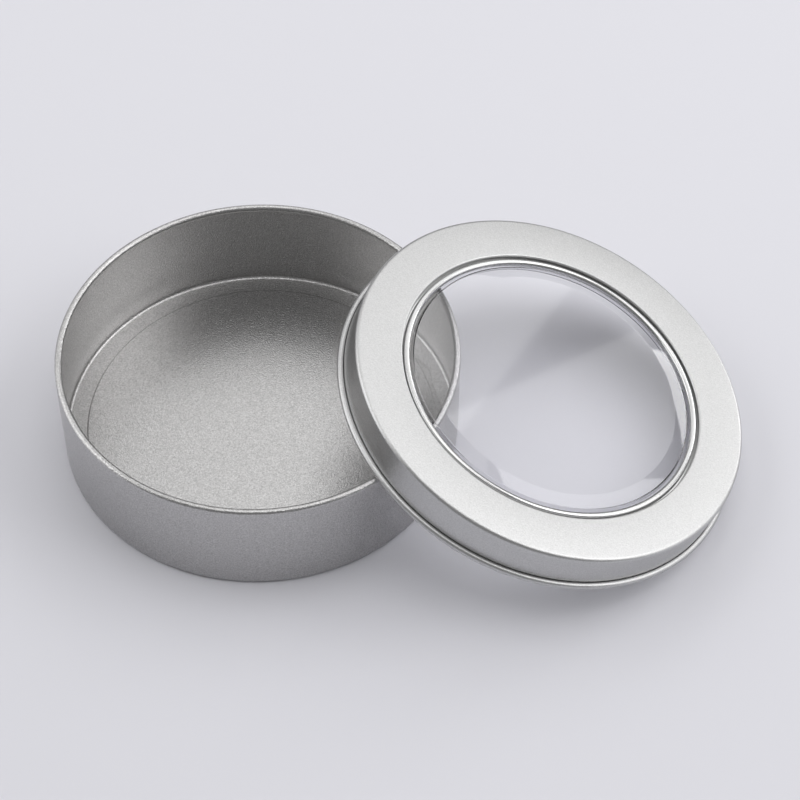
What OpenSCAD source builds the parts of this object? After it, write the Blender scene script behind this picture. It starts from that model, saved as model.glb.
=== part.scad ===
// Round slip-lid tin with a clear window, shown open: the lid leans on the tin's rim.
// Millimetres, +Z up. The origin is the centre of the tin's base, on the surface it stands on,
// and +X points from the tin to the leaning lid.

/* [Sheet] */
// Thickness of the tinplate
sheet = 0.25; // [0.2:0.01:0.32]

/* [Tin] */
// Outside diameter of the tin's wall
tin_d = 85; // [60:0.5:120]
// Height of the tin, over the rim curl
tin_h = 24.25; // [20:0.05:32]
// Outer radius of the inward curl on the rim
rim_curl_r = 0.75; // [0.65:0.01:1.2]
// Outside radius of the corner between base and wall
base_corner_r = 1; // [0.8:0.05:3]
// Width of the flat ring that the tin stands on
stand_w = 3.5; // [2:0.1:8]
// How far the middle of the base is pressed up above the standing ring
panel_rise = 0.6; // [0.45:0.05:1.2]

/* [Lid] */
// Gap between the tin's wall and the lid's skirt, on the radius
skirt_gap = 0.55; // [0.3:0.05:1]
// Height of the lid, over the foot curl
lid_h = 9.45; // [8:0.05:14]
// Outer radius of the outward curl at the foot of the skirt
foot_curl_r = 0.74; // [0.65:0.01:1.2]
// Outside radius of the lid's shoulder
shoulder_r = 0.9; // [0.6:0.05:2]

/* [Window] */
// Diameter of the opening in the lid's top, inside the turned-down lip
opening_d = 66.4; // [46:0.2:80]
// Outside radius of the roll where the top turns down into the lip
lip_roll_r = 0.4; // [0.35:0.01:0.8]
// Depth from the lid's top to the seat that carries the pane
seat_depth = 2.06; // [1.9:0.01:3]
// Width of the seat under the pane
seat_w = 1.2; // [0.8:0.05:2]
// Thickness of the clear pane
pane_t = 0.3; // [0.2:0.05:0.5]
// Gap between the pane's edge and the bend outside its seat
pane_gap = 0.05; // [0.02:0.01:0.3]
// How far the pane's middle is formed up above its held edge
pane_rise = 1.7; // [1.3:0.05:1.75]
// Slope of the band round the pane's flat middle, in degrees below level
band_slope = 10; // [6:0.5:14]
// Width of that sloping band
band_w = 3; // [1.5:0.1:4]
// Gap between the foot of the pane's raised part and the bead beside it
crown_gap = 0.4; // [0.2:0.05:1]
// Outer radius of the rolled bead on the retaining ring
bead_r = 0.72; // [0.65:0.01:0.8]
// Open width of the groove between the lip and the retaining ring
groove_w = 0.36; // [0.25:0.01:0.5]
// Clearance between the retaining ring, the pane and the lip
ring_fit = 0.03; // [0.02:0.01:0.06]

/* [Leaning lid] */
// Angle at which the lid leans
lean = 18.7; // [15:0.05:22]
// Clearance where the lid rests on the rim and on the surface
rest_gap = 0.12; // [0.05:0.01:0.3]

/* [Hidden] */
$fn = 180;
bend_fn = 64;

// a curl stops this far short of touching the wall that it was rolled from
curl_tuck = 14;
tin_r = tin_d / 2;

// How far round a curl of outer radius r is rolled before its edge tucks in beside the wall
function curl_turn(r) = 360 - acos(1 - sheet / r) - curl_tuck;

// base of the tin
base_bend_r = base_corner_r - sheet / 2;
// the step round the panel is two equal bends, down and level again
step_bend_r = panel_rise / 2;
panel_r = tin_r - base_corner_r - stand_w - 2 * step_bend_r;

// lid, in its own upright frame with z = 0 under the foot curl
skirt_r = tin_r + skirt_gap + sheet;
opening_r = opening_d / 2;
seat_top = lid_h - seat_depth;
lip_bend_r = lip_roll_r - sheet / 2;
seat_bend_r = sheet;
shoulder_bend_r = shoulder_r - sheet / 2;
foot_bend_r = foot_curl_r - sheet / 2;
// centre circle of the foot curl's tube
foot_r = skirt_r - sheet + foot_curl_r;

// pane and retaining ring
pane_r = opening_r - (seat_bend_r - sheet / 2) - pane_gap;
pane_top = seat_top + pane_t;
bead_bend_r = bead_r - sheet / 2;
bead_z = pane_top + ring_fit + bead_r;
// the ring's foot lies on the pane and reaches out to the lip; its bend is as tight as the sheet allows
foot_w = groove_w + sheet / 2 - ring_fit;
ring_bend_r = 0.8 * sheet;
// the pane's raised part falls steeply beside the bead; slopes are in degrees below level
wall_slope = 75;
crown_foot_r = opening_r - ring_fit - foot_w - bead_bend_r - bead_r - crown_gap;
wall_drop = pane_rise - band_w * tan(band_slope);
crown_r = crown_foot_r - wall_drop / tan(wall_slope);

// where the lid comes to rest: foot curl on the surface at its low side and on the rim at two points
rim_r = tin_r - rim_curl_r;
rim_z = tin_h - rim_curl_r;
touch = rim_curl_r + foot_curl_r + rest_gap;
foot_z = foot_r * sin(lean) + foot_curl_r + rest_gap;
// angle round the foot curl, from the low side, where it crosses the rim h above the rim curl's centre
function cross_angle(h) = acos((foot_z - rim_z - h) / (foot_r * sin(lean)));
function cross_x(t) = sqrt(pow(rim_r, 2) - pow(foot_r * sin(t), 2)) - foot_r * cos(lean) * cos(t);
// height between the two tube centres at the crossing that leaves the wanted clearance
function slack(t, x) =
    let (p = [x + foot_r * cos(lean) * cos(t), foot_r * sin(t)],
         n = cross([-p.y, p.x, 0], [-sin(t) * cos(lean), cos(t), sin(t) * sin(lean)]))
    touch * norm(n) / abs(n.z);
function settle(h, turns) =
    turns == 0 ? h : settle(slack(cross_angle(h), cross_x(cross_angle(h))), turns - 1);
rest_h = settle(touch, 6);
foot_x = cross_x(cross_angle(rest_h));

tin_colour = [0.72, 0.72, 0.72];
lid_colour = [0.8, 0.8, 0.8];
ring_colour = [0.85, 0.85, 0.86];
pane_colour = [0.85, 0.88, 0.92, 0.3];

// Sheet-metal section drawn as one run, like a bead laid by hand: each step is [length, turn, radius],
// straight for length and then bent by turn degrees (left is positive) at radius on the sheet's middle.
module run(steps, i = 0) {
    if (i < len(steps)) {
        s = steps[i];
        if (s[0] > 0) translate([0, -sheet / 2]) square([s[0], sheet]);
        translate([s[0], 0]) {
            if (s[1] != 0) mirror([0, s[1] < 0 ? 1 : 0]) translate([0, s[2]]) bend(s[2], abs(s[1]));
            side = s[1] < 0 ? -1 : 1;
            if (s[1] == 0) run(steps, i + 1);
            else translate([s[2] * sin(abs(s[1])), side * s[2] * (1 - cos(s[1]))])
                rotate(s[1]) run(steps, i + 1);
        }
    }
}

// One bend of the sheet: an arc of radius r on its middle, from straight below the centre, turning left
module bend(r, angle) {
    reach = 3 * r;
    intersection() {
        difference() {
            circle(r = r + sheet / 2, $fn = bend_fn);
            circle(r = r - sheet / 2, $fn = bend_fn);
        }
        polygon(concat([[0, 0]], [for (k = [0 : 5]) reach * [sin(k * angle / 5), -cos(k * angle / 5)]]));
    }
}

// Turns a section round the axis; the section starts at [r, z] and heads along heading degrees
module turned(r, z, heading, steps) {
    rotate_extrude() translate([r, z]) rotate(heading) run(steps);
}

// Puts what is drawn in the lid's upright frame where the leaning lid lies
module leaning() {
    translate([foot_x, 0, foot_z]) rotate([0, lean, 0]) translate([0, 0, -foot_curl_r]) children();
}

// Drawn cup: raised base panel, standing ring, wall and inward rim curl
module tin_body() color(tin_colour) {
    turned(0, panel_rise + sheet / 2, 0, [
        [panel_r, -90, step_bend_r],
        [0, 90, step_bend_r],
        [stand_w, 90, base_bend_r],
        [tin_h - rim_curl_r - base_corner_r, curl_turn(rim_curl_r), rim_curl_r - sheet / 2]]);
}

// Drawn cap: seat and lip of the opening, flat top, shoulder, skirt and outward foot curl
module lid_shell() color(lid_colour) leaning() {
    seat_r = opening_r + sheet / 2;
    turned(opening_r - seat_w, seat_top - sheet / 2, 0, [
        [seat_w + sheet / 2 - seat_bend_r, 90, seat_bend_r],
        [seat_depth - seat_bend_r - lip_bend_r, -90, lip_bend_r],
        [skirt_r - shoulder_r - seat_r - lip_bend_r, -90, shoulder_bend_r],
        [lid_h - shoulder_r - foot_curl_r, curl_turn(foot_curl_r), foot_bend_r]]);
}

// Retaining ring pressed into the lip: foot, upright leg and a bead rolled inward that holds the pane down
module window_ring() color(ring_colour) leaning() {
    turned(opening_r - ring_fit, bead_z - bead_bend_r, 180, [
        [foot_w - ring_bend_r, -90, ring_bend_r],
        [bead_bend_r - ring_bend_r, curl_turn(bead_r), bead_bend_r]]);
}

// Corner on the underside of the formed sheet, below corner p where its slope changes from a to b
function under(p, a, b) = p - pane_t / cos((b - a) / 2) * [sin((a + b) / 2), cos((a + b) / 2)];

// Clear disc lying on the seat by its flat edge, its middle formed up inside the retaining ring
module window_pane() color(pane_colour) leaning() {
    flat_edge = [crown_r - band_w, pane_top + pane_rise];
    band_edge = [crown_r, pane_top + wall_drop];
    wall_foot = [crown_foot_r, pane_top];
    rotate_extrude() polygon([
        [0, flat_edge.y], flat_edge, band_edge, wall_foot, [pane_r, pane_top], [pane_r, seat_top],
        under(wall_foot, wall_slope, 0), under(band_edge, band_slope, wall_slope),
        under(flat_edge, 0, band_slope), [0, flat_edge.y - pane_t]]);
}

tin_body();
lid_shell();
window_ring();
window_pane();
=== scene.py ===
from math import acos, cos, degrees, pi, radians, sin, tan

import bpy
from mathutils import Matrix, Vector


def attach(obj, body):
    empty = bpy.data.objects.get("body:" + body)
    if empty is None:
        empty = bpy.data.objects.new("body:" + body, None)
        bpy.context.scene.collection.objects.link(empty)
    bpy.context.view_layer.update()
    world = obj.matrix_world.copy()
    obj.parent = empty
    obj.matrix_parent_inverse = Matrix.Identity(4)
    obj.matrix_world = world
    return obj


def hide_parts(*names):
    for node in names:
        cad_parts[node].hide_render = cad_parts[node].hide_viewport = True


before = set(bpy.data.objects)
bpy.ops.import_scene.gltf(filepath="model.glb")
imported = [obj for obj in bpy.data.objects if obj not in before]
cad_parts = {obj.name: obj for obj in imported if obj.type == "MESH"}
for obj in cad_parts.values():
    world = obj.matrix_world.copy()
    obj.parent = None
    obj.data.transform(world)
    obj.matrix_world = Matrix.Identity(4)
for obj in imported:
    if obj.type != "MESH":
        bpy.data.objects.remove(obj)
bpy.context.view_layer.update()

# Camera
# A long lens well above the table, looking down on the open tin at about 51 degrees,
# turned a little so that the lid lies to the right and nearer than the tin.
camera_data = bpy.data.cameras.new("camera")
camera_data.sensor_width = 36
camera_data.lens = 104.53
camera_data.clip_start = 0.01
camera = bpy.data.objects.new("camera", camera_data)
camera.location = (0.063871, -0.309134, 0.395947)
camera.rotation_euler = [radians(a) for a in (39.022, -0.4875, 6.8385)]
bpy.context.scene.collection.objects.link(camera)
bpy.context.scene.camera = camera
bpy.context.scene.view_settings.view_transform = "Standard"

# Table
# A broad smooth tabletop in pale cool grey, the same tone behind the object as under it.
bpy.ops.mesh.primitive_plane_add(size=6, location=(0, 0, 0))
table = bpy.context.object
table.name = "table"

paper = bpy.data.materials.new("pale paper")
paper.use_nodes = True
paper_shader = paper.node_tree.nodes["Principled BSDF"]
paper_shader.inputs["Base Color"].default_value = (0.67, 0.668, 0.71, 1)
paper_shader.inputs["Roughness"].default_value = 0.9
paper_shader.inputs["Specular IOR Level"].default_value = 0.2
table.data.materials.append(paper)

# Lamps
# Large soft boxes hang to the left and the right, overhead and in a broad group behind the table,
# and the room fills the rest. The narrow box behind on the right gives the lid its bright sheen.
AIM = Vector((0.03, 0, 0.01))
REACH = 1.1


def softbox(name, azimuth, elevation, width, height, watts):
    """A soft box aimed at the object. Azimuth is counted from +X towards +Y; angles are in degrees."""
    data = bpy.data.lights.new(name, "AREA")
    data.shape = "RECTANGLE"
    data.size = width
    data.size_y = height
    data.energy = watts
    lamp = bpy.data.objects.new(name, data)
    a, e = radians(azimuth), radians(elevation)
    lamp.location = AIM + REACH * Vector((cos(e) * cos(a), cos(e) * sin(a), sin(e)))
    lamp.rotation_euler = (AIM - lamp.location).to_track_quat("-Z", "Y").to_euler()
    bpy.context.scene.collection.objects.link(lamp)


softbox("left softbox", 180, 42, 0.8, 0.6, 2.6)
softbox("low left softbox", 180, 14, 0.8, 0.4, 1.6)
softbox("right softbox", 4, 44, 0.9, 0.7, 4.4)
softbox("low right softbox", 0, 14, 0.8, 0.4, 1.3)
softbox("overhead softbox", 0, 89, 0.7, 0.7, 2.4)
softbox("back softbox", 83.5, 41, 0.9, 0.5, 1.6)
softbox("high back softbox", 85, 66, 0.9, 0.45, 1.0)
softbox("left back softbox", 140, 35, 0.6, 0.7, 1.2)
softbox("low right back softbox", 42, 12, 0.4, 0.35, 1.6)
softbox("narrow back softbox", 44.5, 40, 0.26, 0.6, 0.65)

room = bpy.data.worlds.new("room")
room.use_nodes = True
room.node_tree.nodes["Background"].inputs["Color"].default_value = (1, 1, 1, 1)
room.node_tree.nodes["Background"].inputs["Strength"].default_value = 0.26
bpy.context.scene.world = room

# Tin
# A shallow cup drawn from one disc of 0.25 mm tinplate. The middle of its base is pressed up a
# little inside a flat standing ring, and the raw edge of the wall is rolled into a curl inside the rim.
SHEET = 0.00025
TIN_R = 0.0425
TIN_H = 0.02425
RIM_CURL_R = 0.00075
BASE_CORNER_R = 0.001
STAND_W = 0.0035
PANEL_RISE = 0.0006
CURL_TUCK = 14
TURNS = 240
WELD = 1e-6
CREASE = 40


def curl_turn(r):
    """Degrees that a curl of outer radius r is rolled, short of touching its own wall."""
    return 360 - degrees(acos(1 - SHEET / r)) - CURL_TUCK


def only(obj):
    """Makes obj the only object selected, and the active one."""
    bpy.ops.object.select_all(action="DESELECT")
    obj.select_set(True)
    bpy.context.view_layer.objects.active = obj


def rolled_sheet(name, r, z, heading, steps, thickness=SHEET, step_angle=9):
    """Draws a sheet's section in the XZ plane as one run of straights and bends, spins it
    round Z and gives it the sheet's thickness. Each step is (length, turn in degrees, radius)."""
    bpy.ops.object.select_all(action="DESELECT")
    bpy.ops.mesh.primitive_plane_add(size=SHEET, location=(0, 0, 0))
    shell = bpy.context.object
    shell.name = name
    bpy.ops.object.mode_set(mode="EDIT")
    bpy.ops.mesh.merge(type="CENTER")
    bpy.ops.transform.translate(value=(r, 0, z))
    for length, turn, radius in steps:
        along = Vector((cos(radians(heading)), 0, sin(radians(heading))))
        if length > 0:
            bpy.ops.mesh.extrude_region_move(TRANSFORM_OT_translate={"value": along * length})
            r, z = r + along.x * length, z + along.z * length
        if turn:
            side = 1 if turn > 0 else -1
            centre = Vector((r - side * along.z * radius, 0, z + side * along.x * radius))
            bpy.ops.mesh.spin(steps=max(3, round(abs(turn) / step_angle)), angle=radians(turn),
                              center=centre, axis=(0, 1, 0))
            spoke = Matrix.Rotation(radians(turn), 3, (0, -1, 0)) @ (Vector((r, 0, z)) - centre)
            r, z = centre.x + spoke.x, centre.z + spoke.z
            heading += turn
    bpy.ops.mesh.select_all(action="SELECT")
    bpy.ops.mesh.spin(steps=TURNS, angle=2 * pi, center=(0, 0, 0), axis=(0, 0, 1))
    bpy.ops.mesh.select_all(action="SELECT")
    bpy.ops.mesh.remove_doubles(threshold=WELD)
    bpy.ops.mesh.normals_make_consistent(inside=False)
    bpy.ops.object.mode_set(mode="OBJECT")
    wall = shell.modifiers.new("sheet", "SOLIDIFY")
    wall.thickness = thickness
    wall.offset = 0
    wall.use_even_offset = True
    only(shell)
    bpy.ops.object.modifier_apply(modifier=wall.name)
    bpy.ops.object.shade_smooth_by_angle(angle=radians(CREASE))
    return shell


step_bend_r = PANEL_RISE / 2
panel_r = TIN_R - BASE_CORNER_R - STAND_W - 2 * step_bend_r
tin = rolled_sheet("tin", 0, PANEL_RISE + SHEET / 2, 0, [
    (panel_r, -90, step_bend_r),
    (0, 90, step_bend_r),
    (STAND_W, 90, BASE_CORNER_R - SHEET / 2),
    (TIN_H - RIM_CURL_R - BASE_CORNER_R, curl_turn(RIM_CURL_R), RIM_CURL_R - SHEET / 2)])


def grain_group():
    """Fine pebbled grain of matt tinplate: a height for the bump and a speckle for the colour."""
    group = bpy.data.node_groups.new("tinplate grain", "ShaderNodeTree")
    face = group.interface
    face.new_socket(name="Grain Size", in_out="INPUT", socket_type="NodeSocketFloat")
    face.new_socket(name="Height", in_out="OUTPUT", socket_type="NodeSocketFloat")
    face.new_socket(name="Speckle", in_out="OUTPUT", socket_type="NodeSocketFloat")
    nodes, links = group.nodes, group.links
    start = nodes.new("NodeGroupInput")
    end = nodes.new("NodeGroupOutput")
    place = nodes.new("ShaderNodeTexCoord")
    per_metre = nodes.new("ShaderNodeMath")
    per_metre.operation = "DIVIDE"
    per_metre.inputs[0].default_value = 1
    links.new(start.outputs["Grain Size"], per_metre.inputs[1])
    pebbles = nodes.new("ShaderNodeTexNoise")
    pebbles.inputs["Detail"].default_value = 1
    pebbles.inputs["Roughness"].default_value = 0.5
    links.new(place.outputs["Object"], pebbles.inputs["Vector"])
    links.new(per_metre.outputs[0], pebbles.inputs["Scale"])
    moved = nodes.new("ShaderNodeMapping")
    moved.inputs["Location"].default_value = (0.31, 0.17, 0.05)
    links.new(place.outputs["Object"], moved.inputs["Vector"])
    specks = nodes.new("ShaderNodeTexNoise")
    specks.inputs["Detail"].default_value = 2
    specks.inputs["Roughness"].default_value = 0.6
    links.new(moved.outputs["Vector"], specks.inputs["Vector"])
    links.new(per_metre.outputs[0], specks.inputs["Scale"])
    links.new(pebbles.outputs["Fac"], end.inputs["Height"])
    links.new(specks.outputs["Fac"], end.inputs["Speckle"])
    return group


GRAIN = grain_group()


def tinplate(name, tone, speckle, roughness, grain_size, grain_depth):
    """Matt tinplate: a metal whose tone is speckled and whose surface is finely pebbled.
    speckle is the share by which the tone swings to either side."""
    material = bpy.data.materials.new(name)
    material.use_nodes = True
    nodes, links = material.node_tree.nodes, material.node_tree.links
    shader = nodes["Principled BSDF"]
    shader.inputs["Metallic"].default_value = 1
    shader.inputs["Roughness"].default_value = roughness
    grain = nodes.new("ShaderNodeGroup")
    grain.node_tree = GRAIN
    grain.inputs["Grain Size"].default_value = grain_size
    ramp = nodes.new("ShaderNodeValToRGB")
    for element, place, share in zip(ramp.color_ramp.elements, (0.3, 0.7), (1 - speckle, 1 + speckle)):
        element.position = place
        element.color = (*[share * channel for channel in tone], 1)
    links.new(grain.outputs["Speckle"], ramp.inputs["Fac"])
    links.new(ramp.outputs["Color"], shader.inputs["Base Color"])
    bump = nodes.new("ShaderNodeBump")
    bump.inputs["Strength"].default_value = 1
    bump.inputs["Distance"].default_value = grain_depth
    links.new(grain.outputs["Height"], bump.inputs["Height"])
    links.new(bump.outputs["Normal"], shader.inputs["Normal"])
    return material


tin.data.materials.append(tinplate(
    "matt tinplate", tone=(0.485, 0.48, 0.478), speckle=0.24, roughness=0.28,
    grain_size=0.0003, grain_depth=0.000075))
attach(tin, "tin")
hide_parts("tin_body")

# Lid
# A cap drawn from one disc of the same tinplate: a seat and lip round the opening, a flat top,
# a rounded shoulder, and a short skirt whose foot is rolled outwards. It leans on the tin's rim.
SKIRT_GAP = 0.00055
LID_H = 0.00945
FOOT_CURL_R = 0.00074
SHOULDER_R = 0.0009
OPENING_R = 0.0332
LIP_ROLL_R = 0.0004
SEAT_DEPTH = 0.00206
SEAT_W = 0.0012
LEAN = radians(18.7)
LEAN_FOOT = Vector((0.059399, 0, 0.0149))

skirt_r = TIN_R + SKIRT_GAP + SHEET
seat_top = LID_H - SEAT_DEPTH
lip_bend_r = LIP_ROLL_R - SHEET / 2
lean_place = (Matrix.Translation(LEAN_FOOT) @ Matrix.Rotation(LEAN, 4, "Y")
              @ Matrix.Translation((0, 0, -FOOT_CURL_R)))


def lean_over(obj):
    """Lays a piece made in the lid's upright place where the leaning lid lies."""
    only(obj)
    obj.matrix_world = lean_place
    bpy.ops.object.transform_apply(location=True, rotation=True, scale=True)


lid = rolled_sheet("lid", OPENING_R - SEAT_W, seat_top - SHEET / 2, 0, [
    (SEAT_W + SHEET / 2 - SHEET, 90, SHEET),
    (SEAT_DEPTH - SHEET - lip_bend_r, -90, lip_bend_r),
    (skirt_r - SHOULDER_R - OPENING_R - SHEET / 2 - lip_bend_r, -90, SHOULDER_R - SHEET / 2),
    (LID_H - SHOULDER_R - FOOT_CURL_R, curl_turn(FOOT_CURL_R), FOOT_CURL_R - SHEET / 2)])
lean_over(lid)
lid.data.materials.append(tinplate(
    "pale matt tinplate", tone=(0.535, 0.535, 0.535), speckle=0.1, roughness=0.37,
    grain_size=0.0003, grain_depth=0.000035))
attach(lid, "lid")
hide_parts("lid_shell")

# Window ring
# A narrow ring of tinplate pressed into the lip: its foot lies on the pane's edge, and its upper
# edge is rolled inwards into a bead.
PANE_T = 0.0003
BEAD_R = 0.00072
GROOVE_W = 0.00036
RING_FIT = 0.00003
bead_z = seat_top + PANE_T + RING_FIT + BEAD_R
ring_bend_r = 0.8 * SHEET
ring = rolled_sheet("window_ring_bead", OPENING_R - RING_FIT, bead_z - (BEAD_R - SHEET / 2), 180, [
    (GROOVE_W + SHEET / 2 - RING_FIT - ring_bend_r, -90, ring_bend_r),
    (BEAD_R - SHEET / 2 - ring_bend_r, curl_turn(BEAD_R), BEAD_R - SHEET / 2)])
lean_over(ring)
ring.data.materials.append(tinplate(
    "bright tinplate", tone=(0.60, 0.60, 0.60), speckle=0.03, roughness=0.2,
    grain_size=0.0004, grain_depth=0.00001))
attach(ring, "lid")
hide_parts("window_ring")

# Window pane
# A disc of clear plastic sheet lying on the seat by its flat edge, held down by the ring. Its middle
# is formed up inside the ring: a flat top, a gently sloping band round it and a steep wall.
PANE_GAP = 0.00005
PANE_RISE = 0.0017
BAND_SLOPE = 10
BAND_W = 0.003
CROWN_GAP = 0.0004
WALL_SLOPE = 75
PANE_BEND_R = 0.0002


def bend_reach(turn):
    """Length that a bend of so many degrees takes from the straight on each side of it."""
    return PANE_BEND_R * tan(radians(turn / 2))


pane_r = OPENING_R - SHEET / 2 - PANE_GAP
wall_drop = PANE_RISE - BAND_W * tan(radians(BAND_SLOPE))
crown_foot_r = (OPENING_R - GROOVE_W - SHEET / 2 - (BEAD_R - SHEET / 2) - BEAD_R - CROWN_GAP
                - PANE_T / 2 * tan(radians(WALL_SLOPE / 2)))
crown_r = crown_foot_r - wall_drop / tan(radians(WALL_SLOPE))
pane = rolled_sheet("window_pane_disc", 0, seat_top + PANE_T / 2 + PANE_RISE, 0, [
    (crown_r - BAND_W - bend_reach(BAND_SLOPE), -BAND_SLOPE, PANE_BEND_R),
    (BAND_W / cos(radians(BAND_SLOPE)) - bend_reach(BAND_SLOPE) - bend_reach(WALL_SLOPE - BAND_SLOPE),
     BAND_SLOPE - WALL_SLOPE, PANE_BEND_R),
    (wall_drop / sin(radians(WALL_SLOPE)) - bend_reach(WALL_SLOPE - BAND_SLOPE) - bend_reach(WALL_SLOPE),
     WALL_SLOPE, PANE_BEND_R),
    (pane_r - crown_foot_r - bend_reach(WALL_SLOPE), 0, 0)], PANE_T)
lean_over(pane)

clear = bpy.data.materials.new("clear plastic")
clear.use_nodes = True
nodes, links = clear.node_tree.nodes, clear.node_tree.links
clear_shader = nodes["Principled BSDF"]
clear_shader.inputs["Base Color"].default_value = (0.97, 0.97, 0.985, 1)
clear_shader.inputs["Roughness"].default_value = 0.04
clear_shader.inputs["IOR"].default_value = 1.5
clear_shader.inputs["Transmission Weight"].default_value = 1
# shadow rays pass straight through; their colour is darker than the plastic because the light
# that is refracted through the pane reaches the table as well
through = nodes.new("ShaderNodeBsdfTransparent")
through.inputs["Color"].default_value = (0.72, 0.72, 0.73, 1)
ray = nodes.new("ShaderNodeLightPath")
either = nodes.new("ShaderNodeMixShader")
links.new(ray.outputs["Is Shadow Ray"], either.inputs["Fac"])
links.new(clear_shader.outputs["BSDF"], either.inputs[1])
links.new(through.outputs["BSDF"], either.inputs[2])
links.new(either.outputs["Shader"], nodes["Material Output"].inputs["Surface"])
pane.data.materials.append(clear)
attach(pane, "lid")
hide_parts("window_pane")
